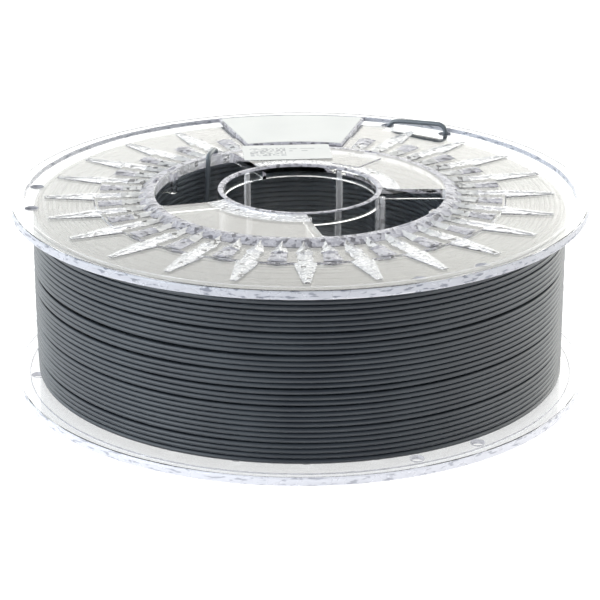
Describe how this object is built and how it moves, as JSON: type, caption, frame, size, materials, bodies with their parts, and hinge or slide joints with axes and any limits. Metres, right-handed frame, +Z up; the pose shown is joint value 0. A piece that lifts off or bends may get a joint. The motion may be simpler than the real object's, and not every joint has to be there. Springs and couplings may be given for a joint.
{
  "type": "filament spool",
  "caption": "Clear plastic filament spool with a full winding of dark grey filament, faceted sunburst flanges, open hub windows and a round bore for a spool holder.",
  "frame": {"origin": "centre of the bore, in the plane of the lower rim's face, which the spool lies on", "axes": "+Z up along the bore axis; +Y towards the large label; +X to the right of it, seen from above"},
  "size_m": [0.2, 0.2, 0.0687],
  "materials": {
    "clear_plastic": "clear, polished, moulded",
    "filament": "smooth, semi-matt",
    "label": "matt paper"
  },
  "bodies": {
    "root": {"top_flange": "clear_plastic", "spool_body": "clear_plastic", "filament_core": "filament", "filament_outer_layer": "filament", "filament_end": "filament", "filament_start": "filament", "large_label": "label", "small_label": "label"}
  },
  "joints": []
}
